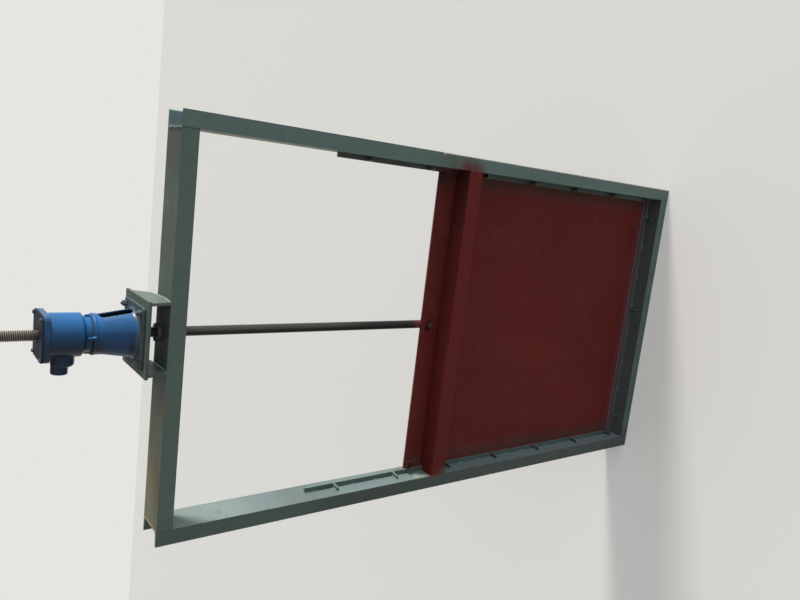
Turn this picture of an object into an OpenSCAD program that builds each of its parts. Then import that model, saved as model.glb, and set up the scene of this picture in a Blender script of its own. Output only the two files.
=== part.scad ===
// Sluice gate with a welded channel frame, a plate leaf that slides behind guide bars,
// and a rising threaded stem driven by a cast hoist on top. Millimetres, +Z up.
// The origin is on the frame's back plane, at the middle of the sill's bottom edge.

/* [Waterway] */
// Clear width between the webs of the side channels
opening_w = 1400; // [900:10:2000]
// Clear height from the sill's top face to the underside of the lintel
opening_h = 1390; // [900:10:1400]
// Height of the frame from the sill's bottom edge to the top of the crossbeam
frame_h = 2785; // [2700:5:3400]

/* [Channel section] */
// Depth of the rolled channel, from front to back of the frame
channel_depth = 140; // [136:1:160]
// Width of the channel's flanges
channel_flange = 58; // [45:1:75]
// Thickness of the channel's web
channel_web_t = 6; // [5:0.5:9]
// Mean thickness of the channel's flanges
channel_flange_t = 9.5; // [8:0.5:12]
// Radius between flange and web
channel_root_r = 9.5; // [6:0.5:11]
// Radius on the inner edge of a flange's toe
channel_toe_r = 4.8; // [2:0.2:5]

/* [Lintel] */
// Height of the lintel beam across the frame
lintel_h = 75; // [60:1:100]
// Wall of the lintel beam
lintel_wall = 6; // [4:0.5:10]

/* [Guides] */
// Distance from the frame's front to the plane that the leaf seals on
seat_depth = 84; // [78:1:88]
// Height that the guide bars stand off the webs
guide_h = 20; // [16:1:30]
// Thickness of the guide bars, front to back
guide_t = 12; // [8:1:16]
// Height of the guide bars' top ends above the lintel
guide_rise = 627; // [400:1:900]
// Distance from the lintel's underside down to the middle of the nearest guide rib
rib_drop = 68; // [30:1:120]
// Distance from one guide rib to the next
rib_pitch = 316; // [250:1:400]
// Thickness of the ribs that brace the bars
rib_t = 8; // [5:1:12]
// Length of a rib from the bar towards the front
rib_reach = 38; // [25:1:50]
// Height of a rib's front end
rib_nose = 15; // [8:1:16]
// Distance of the outer sill ribs from the middle
sill_rib_x = 586; // [300:1:640]
// Distance of the middle sill rib from the gate's middle
sill_mid_rib_x = 60; // [-200:1:200]
// Thickness of the keeper bars behind the leaf
keeper_t = 7; // [5:0.5:8]
// Distance from the leaf's top edge down to the keeper bars' top
keeper_drop = 100; // [60:1:400]

/* [Leaf] */
// Distance from the lintel's top up to the leaf's top edge
leaf_rise = 97.3; // [70:0.1:140]
// Thickness of the leaf's plate
skin_t = 8; // [6:0.5:10]
// Depth of the stiffening ribs on the leaf's back
stiff_depth = 26; // [18:1:27]
// Thickness of the stiffening ribs
stiff_t = 8; // [5:1:12]
// Number of cross ribs between the bottom rib and the top rib
cross_count = 3; // [1:1:5]
// Distance of the upright ribs from the middle
upright_x = 235; // [150:5:400]
// Distance from the leaf's top edge down to the top rib
top_rib_drop = 100; // [90:1:120]
// Thickness of the rubber seals
seal_t = 5; // [3:0.5:6]
// Height of the seal behind the lintel
top_seal_h = 40; // [25:1:60]
// Thickness of the rubber foot under the leaf
foot_t = 8; // [5:0.5:15]
// Height of the foot's upright leg behind the sill's stop bar
foot_leg = 32; // [26:1:50]

/* [Guide shoes] */
// Width of a guide shoe across the gate
shoe_w = 34; // [20:1:60]
// Height of a guide shoe
shoe_h = 30; // [20:1:60]
// Reach of a guide shoe in front of the leaf's plate
shoe_reach = 30; // [20:1:45]

/* [Stem] */
// Outer diameter of the threaded stem
stem_d = 36; // [30:1:40]
// Distance from the frame's front to the stem's axis
stem_depth = 106; // [104:1:108]
// Length of stem that stands above the hoist's cover
stem_above = 137; // [60:1:400]
// Size of the chamfer at the stem's top
stem_chamfer = 3; // [1:0.5:5]
// Length of the flattened tongue behind the leaf's plate
tongue_l = 88; // [75:1:88]
// Thickness of the tongue, between its two flats
tongue_t = 24; // [18:1:26]
// Diameter of the bolt through plate and tongue
bolt_d = 20; // [12:1:22]
// Distance from the leaf's top edge to the bolt's axis
bolt_drop = 45; // [35:1:50]
// Height of the bolt's head and nut
bolt_head = 12; // [8:1:16]
// Width of the bolt's head and nut across their flats
bolt_flats = 30; // [19:1:34]
// Thickness of the cheek plates beside the tongue
cheek_t = 8; // [5:1:12]
// Distance from the leaf's top edge to the top of the cheek plates
cheek_drop = 32; // [30:1:45]

/* [Bracket] */
// Height from the crossbeam to the underside of the hoist's base plate
bracket_h = 69; // [45:1:100]
// Thickness of the bracket's side plates
bracket_t = 10; // [6:1:16]
// Width of the base plate across the gate
base_w = 262; // [246:1:330]
// Length of the base plate from front to back
base_l = 262; // [246:1:330]
// Thickness of the base plate
base_t = 10; // [6:1:20]
// Distance that the base plate stands past the side plates
base_lip = 5; // [2:1:10]
// Distance behind the frame of the rear corner low on the side plates
bracket_kink = 42; // [20:1:60]
// Diameter of the stem's collar on the crossbeam
collar_d = 64; // [54:1:68]
// Thickness of the stem's collar
collar_t = 12; // [8:1:20]

/* [Hoist pedestal] */
// Width of the pedestal's square flange
flange_w = 212; // [200:1:236]
// Thickness of the pedestal's flange
flange_t = 10; // [8:1:20]
// Radius of the flange's corners
flange_r = 10; // [4:1:20]
// Outer radius of the pedestal at its flange
cone_r_low = 85; // [78:1:92]
// Outer radius of the pedestal at its top
cone_r_high = 68; // [64:1:72]
// Height of the pedestal's conical part
cone_h = 118; // [105:1:180]
// Wall of the pedestal
cone_wall = 10; // [7:1:14]
// Radius of the fillet between flange and cone
cone_fillet = 9; // [4:1:12]
// Width of the pedestal's two windows
window_w = 62; // [30:1:70]
// Height of the pedestal's two windows
window_h = 106; // [80:1:108]
// Radius of the windows' corners
window_r = 14; // [6:1:15]
// Distance from the flange's top face to the windows
window_lift = 7; // [4:1:10]
// Outer radius of the ring at the pedestal's top
ring_r = 70; // [69:1:78]
// Height of the ring
ring_h = 17; // [14:1:25]
// Height and width of the bevel on the ring's top edge
ring_bevel = 8; // [3:1:9]
// Number of lugs across the ring
ring_lugs = 4; // [3:1:8]
// Thickness of the lugs
lug_t = 9; // [5:1:14]
// Distance that the lugs stand past the ring
lug_reach = 3; // [1:1:6]
// Height of the lugs above the ring
lug_rise = 11; // [6:1:20]

/* [Gear housing] */
// Radius of the neck under the gear housing
neck_r = 60; // [54:1:64]
// Height of the neck
neck_h = 23; // [15:1:40]
// Radius of the gear housing
housing_r = 72; // [68:1:74]
// Height of the gear housing's round part
housing_h = 107; // [98:1:140]
// Height of the bevel under the gear housing
housing_bevel = 8; // [4:1:12]
// Width of the square head on the gear housing
head_w = 152; // [150:1:170]
// Height of the square head
head_h = 19; // [16:1:36]
// Radius of the square head's corners
head_r = 20; // [8:1:24]
// Thickness of the housing's cover
cover_t = 5; // [3:1:10]

/* [Drive nut] */
// Wall of the drive nut round the stem
nut_wall = 13; // [9:1:15]
// Distance that the nut's flange stands past its body
nut_lip = 12; // [6:1:16]
// Height of the nut's flange
nut_lip_h = 12; // [8:1:20]
// Length of the nut below the pedestal's ring
nut_tail = 25; // [10:1:40]

/* [Crank boss] */
// Radius of the boss on the side of the housing
boss_r = 36; // [30:1:42]
// Reach of the boss from the stem's axis
boss_reach = 103; // [95:1:130]
// Radius of the rounding at the boss's end
boss_round = 12; // [6:1:14]
// Radius of the boss's turned end
snout_r = 26; // [18:1:28]
// Length of the boss's turned end
snout_l = 26; // [15:1:50]
// Height of the boss's axis above the housing's lower end
boss_lift = 57; // [48:1:62]
// Height of the turned end's axis above the boss's axis
snout_rise = 8; // [0:1:8]

/* [Clearances] */
// Gap between the leaf's edges and the side channels
side_gap = 5; // [4:0.5:8]
// Running gap between the seals and the guide bars
seat_gap = 0.5; // [0.3:0.1:1]
// Gap between the rubber foot and the sill
foot_gap = 0.3; // [0.2:0.1:1]
// Radial gap between the stem and the drive nut
nut_gap = 0.3; // [0.2:0.1:0.5]
// Radial gap between the stem and its collar
collar_gap = 1; // [0.5:0.5:3]
// Radial gap between the stem and the holes that it passes freely
free_gap = 6; // [5:1:8]
// Gap round fitted sleeves and bolts
fit_gap = 0.2; // [0.1:0.1:0.4]

/* [Hidden] */
$fn = 64;
eps = 1;

frame_front = -channel_depth;
half_w = opening_w / 2;
sill_top = channel_flange;
lintel_z = sill_top + opening_h;
lintel_top = lintel_z + lintel_h;
seat_y = frame_front + seat_depth;
guide_front = seat_y - guide_t;
guide_inner = half_w - guide_h;
guide_top = lintel_top + guide_rise;
flange_slope = 0.1;

rib_middle = lintel_z - rib_drop;
ribs_below = floor((rib_middle - sill_top - guide_h - rib_t) / rib_pitch);
ribs_above = floor((guide_top - rib_middle - rib_t) / rib_pitch);
sill_rib_places = [-sill_rib_x, sill_mid_rib_x, sill_rib_x];

seal_front = seat_y + seat_gap;
skin_front = seal_front + seal_t;
skin_back = skin_front + skin_t;
stiff_back = skin_back + stiff_depth;
leaf_half = half_w - side_gap;
leaf_bottom = sill_top + foot_gap + foot_t;
leaf_top = lintel_top + leaf_rise;
top_rib_z = leaf_top - top_rib_drop - stiff_t;
cross_step = (top_rib_z - leaf_bottom) / (cross_count + 1);
edge_inner = leaf_half - stiff_t;
keeper_top = leaf_top - keeper_drop;

stem_r = stem_d / 2;
stem_y = frame_front + stem_depth;
bolt_z = leaf_top - bolt_drop;
hex_r = bolt_flats / 2 / cos(30);
tongue_back = skin_back + tongue_t;

base_z = frame_h + bracket_h;
base_top = base_z + base_t;
base_front = stem_y - base_l / 2;
base_back = stem_y + base_l / 2;
plate_x = base_w / 2 - base_lip - bracket_t;

cone_z = base_top + flange_t;
cone_foot = base_top + flange_t / 2;
ring_z = cone_z + cone_h;
neck_z = ring_z + ring_h;
housing_z = neck_z + neck_h;
head_z = housing_z + housing_h;
cover_z = head_z + head_h;
cover_top = cover_z + cover_t;
stem_top = cover_top + stem_above;

nut_r = stem_r + nut_wall;
nut_bore_r = nut_r + fit_gap;
nut_lip_r = nut_r + nut_lip;
nut_bottom = ring_z - nut_tail;
nut_lip_z = cover_z - nut_lip_h;
boss_z = housing_z + boss_lift;

// Points along an arc
function arc_points(cx, cy, r, from, to, steps = 6) = [
    for (i = [0:steps])
        let (a = from + (to - from) * i / steps)
        [cx + r * cos(a), cy + r * sin(a)]
];

// Height of a flange's sloping inner face, at a distance x from the web's back
function flange_inner(x) =
    channel_depth / 2 - channel_flange_t + flange_slope * (x - (channel_flange + channel_web_t) / 2);

// Upper half of the channel's outline, from the web's back round the flange to the web's inner face
function channel_half() =
    let (
        tilt = atan(flange_slope),
        toe_x = channel_flange - channel_toe_r,
        root_x = channel_web_t + channel_root_r
    )
    concat(
        [[0, channel_depth / 2], [channel_flange, channel_depth / 2]],
        arc_points(toe_x, flange_inner(toe_x) + channel_toe_r / cos(tilt), channel_toe_r, 0, tilt - 90),
        arc_points(
            root_x, flange_inner(root_x) - channel_root_r / cos(tilt), channel_root_r, 90 + tilt, 180
        )
    );

// Rolled channel section: the web's back on x = 0, the flanges towards +x
module channel_section() {
    upper = channel_half();
    lower = [for (i = [len(upper) - 1:-1:0]) [upper[i][0], -upper[i][1]]];
    polygon(concat(upper, lower));
}

// Rectangle with round corners, centred on the origin
module rounded_rect(w, h, r) {
    square([w - 2 * r, h], center = true);
    square([w, h - 2 * r], center = true);
    for (x = [-1, 1], y = [-1, 1])
        translate([x * (w / 2 - r), y * (h / 2 - r)]) circle(r);
}

// Box given by its lowest and highest corners
module block(low, high) {
    translate(low) cube(high - low);
}

// Puts a piece that is modelled at the right side on the left side
module on_left() {
    mirror([1, 0, 0]) children();
}

// Extrudes an outline drawn in Y and Z along X, from x by the thickness t
module across(x, t) {
    translate([x, 0, 0]) rotate([90, 0, 90]) linear_extrude(t) children();
}

// Channel that lies across the frame between the side channels, with its web's back on top
module cross_channel(top) {
    translate([-half_w, frame_front / 2, top])
        rotate([0, 90, 0])
            linear_extrude(opening_w) channel_section();
}

// Round hole or pin on the stem's axis
module on_stem(z, r, h) {
    translate([0, stem_y, z]) cylinder(r = r, h = h);
}

module side_channel() {
    color("#46574f")
        translate([half_w, frame_front / 2, 0])
            linear_extrude(frame_h) channel_section();
}

module left_side_channel() {
    on_left() side_channel();
}

module right_side_channel() {
    side_channel();
}

module top_crossbeam() {
    color("#46574f")
        difference() {
            cross_channel(frame_h);
            on_stem(frame_h - channel_flange, stem_r + free_gap, channel_flange + eps);
        }
}

module sill_channel() {
    color("#46574f") cross_channel(sill_top);
}

// Box beam over the waterway, notched round the guide bars, with its back on the sealing plane
module lintel_beam() {
    color("#6e2f2a")
        difference() {
            block([-half_w, frame_front, lintel_z], [half_w, seat_y, lintel_top]);
            block(
                [-half_w - eps, frame_front + lintel_wall, lintel_z + lintel_wall],
                [half_w + eps, guide_front - lintel_wall, lintel_top - lintel_wall]
            );
            for (x = [-half_w - eps, guide_inner])
                block(
                    [x, guide_front, lintel_z - eps],
                    [x + guide_h + eps, seat_y + eps, lintel_top + eps]
                );
        }
}

module guide_bar() {
    color("#5f7169")
        block([guide_inner, guide_front, sill_top], [half_w, seat_y, guide_top]);
}

module left_guide_bar() {
    on_left() guide_bar();
}

module right_guide_bar() {
    guide_bar();
}

// Outline of a brace between a bar and the plate that it stands on: x along the plate, y off it
module brace_outline() {
    polygon([[0, 0], [rib_reach, 0], [rib_reach, rib_nose], [0, guide_h]]);
}

module guide_ribs() {
    color("#5f7169")
        for (i = [-ribs_below:ribs_above])
            translate([half_w, guide_front, rib_middle + i * rib_pitch - rib_t / 2])
                rotate([0, 0, -90])
                    mirror([0, 1, 0]) linear_extrude(rib_t) brace_outline();
}

module left_guide_ribs() {
    on_left() guide_ribs();
}

module right_guide_ribs() {
    guide_ribs();
}

module sill_stop_bar() {
    color("#5f7169")
        block([-guide_inner, guide_front, sill_top], [guide_inner, seat_y, sill_top + guide_h]);
}

module sill_stop_ribs() {
    color("#5f7169")
        for (x = sill_rib_places)
            translate([x - rib_t / 2, guide_front, sill_top])
                rotate([90, 0, 90])
                    mirror([1, 0, 0]) linear_extrude(rib_t) brace_outline();
}

// Bar behind the leaf that keeps it in its groove
module keeper_bar() {
    color("#46574f")
        block([guide_inner, -keeper_t, sill_top], [half_w, 0, keeper_top]);
}

module left_keeper_bar() {
    on_left() keeper_bar();
}

module right_keeper_bar() {
    keeper_bar();
}

// Side of the bracket: as deep as the crossbeam at its foot, and as the base plate at its top
module bracket_plate() {
    color("#5f7169")
        across(plate_x, bracket_t)
            polygon([
                [frame_front, frame_h],
                [0, frame_h],
                [bracket_kink, frame_h + bracket_t],
                [base_back - base_lip, base_z],
                [base_front + base_lip, base_z]
            ]);
}

module left_bracket_plate() {
    on_left() bracket_plate();
}

module right_bracket_plate() {
    bracket_plate();
}

module hoist_base_plate() {
    color("#46574f")
        difference() {
            block([-base_w / 2, base_front, base_z], [base_w / 2, base_back, base_top]);
            on_stem(base_z - eps, stem_r + 2 * free_gap, base_t + 2 * eps);
        }
}

module stem_collar() {
    color("#3a3f3d")
        difference() {
            on_stem(frame_h, collar_d / 2, collar_t);
            on_stem(frame_h - eps, stem_r + collar_gap, collar_t + 2 * eps);
        }
}

// Outline of the pedestal's outside: a cone that starts inside the flange, and a ring at its top
module pedestal_outline() {
    polygon([
        [0, cone_foot],
        [cone_r_low, cone_foot],
        [cone_r_low, cone_z],
        [cone_r_high, ring_z],
        [ring_r, ring_z],
        [ring_r, neck_z - ring_bevel],
        [ring_r - ring_bevel, neck_z],
        [0, neck_z]
    ]);
}

// Outline of the hollow in the pedestal, with the drive nut's bore through the ring
module pedestal_hollow() {
    polygon([
        [0, base_top - eps],
        [cone_r_low - cone_wall, base_top - eps],
        [cone_r_low - cone_wall, cone_z],
        [cone_r_high - cone_wall, ring_z],
        [nut_bore_r, ring_z],
        [nut_bore_r, neck_z + eps],
        [0, neck_z + eps]
    ]);
}

// Ring of metal that fills the corner between flange and cone
module foot_fillet() {
    rotate_extrude()
        difference() {
            translate([cone_r_low - cone_wall / 2, 0])
                square([cone_wall / 2 + cone_fillet, cone_fillet]);
            translate([cone_r_low + cone_fillet, cone_fillet]) circle(cone_fillet);
        }
}

// Window through both sides of the cone, with round corners
module pedestal_windows() {
    reach = cone_r_low + cone_fillet + eps;
    translate([-reach, stem_y, cone_z + window_lift + window_h / 2])
        rotate([90, 0, 90]) linear_extrude(2 * reach) rounded_rect(window_w, window_h, window_r);
}

// Lug across the ring, beside the neck
module ring_lug() {
    block([neck_r + fit_gap, -lug_t / 2, ring_z], [ring_r + lug_reach, lug_t / 2, neck_z + lug_rise]);
}

module hoist_pedestal() {
    color("#2a5f97")
        difference() {
            union() {
                translate([0, stem_y, base_top])
                    linear_extrude(flange_t) rounded_rect(flange_w, flange_w, flange_r);
                translate([0, stem_y, 0]) rotate_extrude() pedestal_outline();
                translate([0, stem_y, cone_z]) foot_fillet();
                for (i = [0:ring_lugs - 1])
                    translate([0, stem_y, 0]) rotate([0, 0, i * 360 / ring_lugs]) ring_lug();
            }
            translate([0, stem_y, 0]) rotate_extrude() pedestal_hollow();
            pedestal_windows();
        }
}

// Round body of the gear housing, from the neck up to the square head
module housing_body() {
    rotate_extrude()
        polygon([
            [0, neck_z],
            [neck_r, neck_z],
            [neck_r, housing_z],
            [housing_r, housing_z + housing_bevel],
            [housing_r, head_z],
            [0, head_z]
        ]);
}

// Boss on the left side for the crank's shaft, with its turned end
module crank_boss() {
    translate([0, 0, boss_z])
        rotate([0, -90, 0])
            rotate_extrude()
                polygon(concat(
                    [[0, 0], [boss_r, 0]],
                    arc_points(boss_r - boss_round, boss_reach - boss_round, boss_round, 0, 90, 8),
                    [[0, boss_reach]]
                ));
    translate([0, 0, boss_z + snout_rise])
        rotate([0, -90, 0])
            cylinder(r = snout_r, h = boss_reach + snout_l);
}

module gear_housing() {
    color("#2a5f97")
        translate([0, stem_y, 0])
            difference() {
                union() {
                    housing_body();
                    translate([0, 0, head_z])
                        linear_extrude(head_h) rounded_rect(head_w, head_w, head_r);
                    crank_boss();
                }
                translate([0, 0, neck_z - eps])
                    cylinder(r = nut_bore_r, h = cover_z - neck_z + 2 * eps);
                translate([0, 0, nut_lip_z])
                    cylinder(r = nut_lip_r + fit_gap, h = nut_lip_h + eps);
            }
}

// Threaded nut that carries the stem, with a flange that rests in the square head
module drive_nut() {
    color("#9a7b3a")
        difference() {
            union() {
                on_stem(nut_bottom, nut_r, cover_z - nut_bottom);
                on_stem(nut_lip_z, nut_lip_r, nut_lip_h);
            }
            on_stem(nut_bottom - eps, stem_r + nut_gap, cover_z - nut_bottom + 2 * eps);
        }
}

module housing_cover() {
    color("#22303d")
        difference() {
            translate([0, stem_y, cover_z]) linear_extrude(cover_t) rounded_rect(head_w, head_w, head_r);
            on_stem(cover_z - eps, stem_r + free_gap, cover_t + 2 * eps);
        }
}

module skin_plate() {
    color("#5a2a27")
        difference() {
            block([-leaf_half, skin_front, leaf_bottom], [leaf_half, skin_back, leaf_top]);
            bolt_hole();
        }
}

module bolt_hole() {
    translate([0, skin_front - eps, bolt_z])
        rotate([-90, 0, 0]) cylinder(d = bolt_d + 2 * fit_gap, h = tongue_back - skin_front + 2 * eps);
}

module edge_rib() {
    color("#5a2a27")
        block([edge_inner, skin_back, leaf_bottom], [leaf_half, stiff_back, leaf_top - top_rib_drop]);
}

module left_edge_rib() {
    on_left() edge_rib();
}

module right_edge_rib() {
    edge_rib();
}

// Rib across the leaf's back, between the edge ribs
module level_rib(z) {
    block([-edge_inner, skin_back, z], [edge_inner, stiff_back, z + stiff_t]);
}

module top_rib() {
    color("#5a2a27") level_rib(top_rib_z);
}

module bottom_rib() {
    color("#5a2a27") level_rib(leaf_bottom);
}

module cross_ribs() {
    color("#5a2a27")
        for (i = [1:cross_count])
            level_rib(leaf_bottom + i * cross_step);
}

module upright_ribs() {
    color("#5a2a27")
        for (x = [-upright_x, upright_x], i = [0:cross_count])
            block(
                [x - stiff_t / 2, skin_back, leaf_bottom + i * cross_step + stiff_t],
                [x + stiff_t / 2, stiff_back, leaf_bottom + (i + 1) * cross_step]
            );
}

module side_seal() {
    color("#1e1e1e")
        block([guide_inner, seal_front, leaf_bottom + foot_leg], [leaf_half, skin_front, leaf_top]);
}

module left_side_seal() {
    on_left() side_seal();
}

module right_side_seal() {
    side_seal();
}

module top_seal() {
    middle = (lintel_z + lintel_top) / 2;
    color("#1e1e1e")
        block(
            [-guide_inner, seal_front, middle - top_seal_h / 2],
            [guide_inner, skin_front, middle + top_seal_h / 2]
        );
}

// Rubber angle: a foot under the leaf and a leg behind the sill's stop bar
module bottom_seal() {
    foot_z = sill_top + foot_gap;
    color("#1e1e1e")
        across(-leaf_half, 2 * leaf_half)
            polygon([
                [seal_front, foot_z],
                [stiff_back, foot_z],
                [stiff_back, leaf_bottom],
                [skin_front, leaf_bottom],
                [skin_front, leaf_bottom + foot_leg],
                [seal_front, leaf_bottom + foot_leg]
            ]);
}

// Cleat on the leaf's top corner that runs beside the guide bar
module guide_shoe() {
    outer = guide_inner - side_gap;
    color("#4a2624")
        across(outer - shoe_w, shoe_w)
            polygon([
                [skin_front, leaf_top - shoe_h],
                [skin_front, leaf_top],
                [skin_front - shoe_reach, leaf_top],
                [skin_front - shoe_reach, leaf_top - shoe_h / 2]
            ]);
}

module left_guide_shoe() {
    on_left() guide_shoe();
}

module right_guide_shoe() {
    guide_shoe();
}

// Stem whose lower end is a tongue between two flats, which lies against the leaf's plate
module stem() {
    foot = leaf_top - tongue_l;
    side = stem_r + eps;
    color("#4c4f52")
        difference() {
            union() {
                on_stem(foot, stem_r, stem_top - stem_chamfer - foot);
                translate([0, stem_y, stem_top - stem_chamfer])
                    cylinder(r1 = stem_r, r2 = stem_r - stem_chamfer, h = stem_chamfer);
            }
            block([-side, stem_y - side, foot - eps], [side, skin_back, leaf_top + fit_gap]);
            block([-side, tongue_back, foot - eps], [side, stem_y + side, leaf_top + fit_gap]);
            bolt_hole();
        }
}

// Plates on both sides of the stem's tongue, standing on the top rib
module stem_cheeks() {
    inner = stem_r + fit_gap;
    color("#5a2a27")
        for (x = [-inner - cheek_t, inner])
            block(
                [x, skin_back, leaf_top - top_rib_drop],
                [x + cheek_t, stiff_back, leaf_top - cheek_drop]
            );
}

// Bolt through the plate and the tongue, with its head in front and its nut behind
module stem_bolt() {
    color("#4a2624")
        translate([0, 0, bolt_z])
            rotate([-90, 0, 0]) {
                translate([0, 0, skin_front - bolt_head]) cylinder(r = hex_r, h = bolt_head, $fn = 6);
                translate([0, 0, skin_front - eps])
                    cylinder(d = bolt_d, h = tongue_back - skin_front + 2 * eps);
                translate([0, 0, tongue_back]) cylinder(r = hex_r, h = bolt_head, $fn = 6);
            }
}

left_side_channel();
right_side_channel();
top_crossbeam();
sill_channel();
lintel_beam();
left_guide_bar();
right_guide_bar();
left_guide_ribs();
right_guide_ribs();
sill_stop_bar();
sill_stop_ribs();
left_keeper_bar();
right_keeper_bar();
left_bracket_plate();
right_bracket_plate();
hoist_base_plate();
stem_collar();
hoist_pedestal();
gear_housing();
drive_nut();
housing_cover();
skin_plate();
left_edge_rib();
right_edge_rib();
top_rib();
bottom_rib();
cross_ribs();
upright_ribs();
left_side_seal();
right_side_seal();
top_seal();
bottom_seal();
left_guide_shoe();
right_guide_shoe();
stem();
stem_cheeks();
stem_bolt();
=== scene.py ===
"""Looks of a sluice gate: paint, screw thread, welds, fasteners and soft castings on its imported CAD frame.

Metres, +Z up. Pairs of coordinates that tone a stretch of the gate say where the tone starts and is full.
"""

import math
import random

import bmesh
import bpy
from mathutils import Matrix, Vector


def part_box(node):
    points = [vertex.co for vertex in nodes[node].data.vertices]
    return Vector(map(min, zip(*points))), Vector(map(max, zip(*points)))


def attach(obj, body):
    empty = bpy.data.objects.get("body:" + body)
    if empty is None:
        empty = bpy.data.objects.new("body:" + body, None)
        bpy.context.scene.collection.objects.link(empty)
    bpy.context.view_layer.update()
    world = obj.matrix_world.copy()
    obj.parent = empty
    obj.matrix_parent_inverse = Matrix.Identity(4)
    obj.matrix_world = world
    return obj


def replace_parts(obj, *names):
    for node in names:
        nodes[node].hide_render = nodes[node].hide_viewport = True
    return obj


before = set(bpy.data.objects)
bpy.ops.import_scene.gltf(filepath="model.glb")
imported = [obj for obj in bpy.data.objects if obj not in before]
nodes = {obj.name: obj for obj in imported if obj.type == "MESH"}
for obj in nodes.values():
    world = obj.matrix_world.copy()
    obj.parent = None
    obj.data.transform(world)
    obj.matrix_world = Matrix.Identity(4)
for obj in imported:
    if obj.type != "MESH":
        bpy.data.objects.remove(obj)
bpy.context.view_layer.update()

# Sizes read from the frame

MM = 0.001
X, Y, Z = 0, 1, 2
stem_low, stem_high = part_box("stem")
plate_low, plate_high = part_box("skin_plate")
beam_low, beam_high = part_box("top_crossbeam")
lintel_low, lintel_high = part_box("lintel_beam")
bar_low, bar_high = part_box("right_guide_bar")
base_low, base_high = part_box("hoist_base_plate")
cover_low, cover_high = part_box("housing_cover")
bracket_low, bracket_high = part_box("right_bracket_plate")
stop_low, stop_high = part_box("sill_stop_bar")
sill_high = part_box("sill_channel")[1]
collar_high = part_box("stem_collar")[1]
seal_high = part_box("bottom_seal")[1]

HALF_W = beam_high.x
FRONT = beam_low.y
FRAME_TOP = beam_high.z
LEAF_TOP = plate_high.z
LINTEL_Z = (lintel_low.z + lintel_high.z) / 2
STEM_R = (stem_high.x - stem_low.x) / 2
STEM_Y = (cover_low.y + cover_high.y) / 2
BOLT_Z = sum(p.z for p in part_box("stem_bolt")) / 2
CHANNEL_FLANGE = 58 * MM
FRONT_EDGE = HALF_W + CHANNEL_FLANGE
PEDESTAL_FLANGE = 10 * MM
FLANGE_TOP = base_high.z + PEDESTAL_FLANGE


# Camera

CAMERA_AT = Vector((0.5751, -2.3692, 3.5641))
CAMERA_TARGET = Vector((0.1102, -0.0318, 1.7419))
CAMERA_UP = Vector((0.98112, 0.19338, -0.00226))
CAMERA_LENS = 30.80


def add_object(name, data):
    obj = bpy.data.objects.new(name, data)
    bpy.context.scene.collection.objects.link(obj)
    return obj


def add_camera():
    """Camera of the photograph, which shows the gate lying on its left side."""
    data = bpy.data.cameras.new("camera")
    data.sensor_width = 36.0
    data.lens = CAMERA_LENS
    camera = add_object("camera", data)
    back = (CAMERA_AT - CAMERA_TARGET).normalized()
    right = CAMERA_UP.cross(back).normalized()
    up = back.cross(right)
    turn = Matrix((right, up, back)).transposed()
    camera.matrix_world = Matrix.Translation(CAMERA_AT) @ turn.to_4x4()
    bpy.context.scene.camera = camera


add_camera()


# Nodes of a finish

COAT_ROUGHNESS = 0.12
PATCH_SPREAD = 0.35
# Sockets of a Mix node: its factor, its two values and its result
MIX_SOCKETS = {"RGBA": (0, 6, 7, 2), "FLOAT": (0, 2, 3, 0)}


def linear(code):
    """Linear colour of an sRGB code such as #46574f."""
    parts = [int(code[i:i + 2], 16) / 255 for i in (1, 3, 5)]
    return [c / 12.92 if c <= 0.04045 else ((c + 0.055) / 1.055) ** 2.4 for c in parts] + [1.0]


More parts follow.
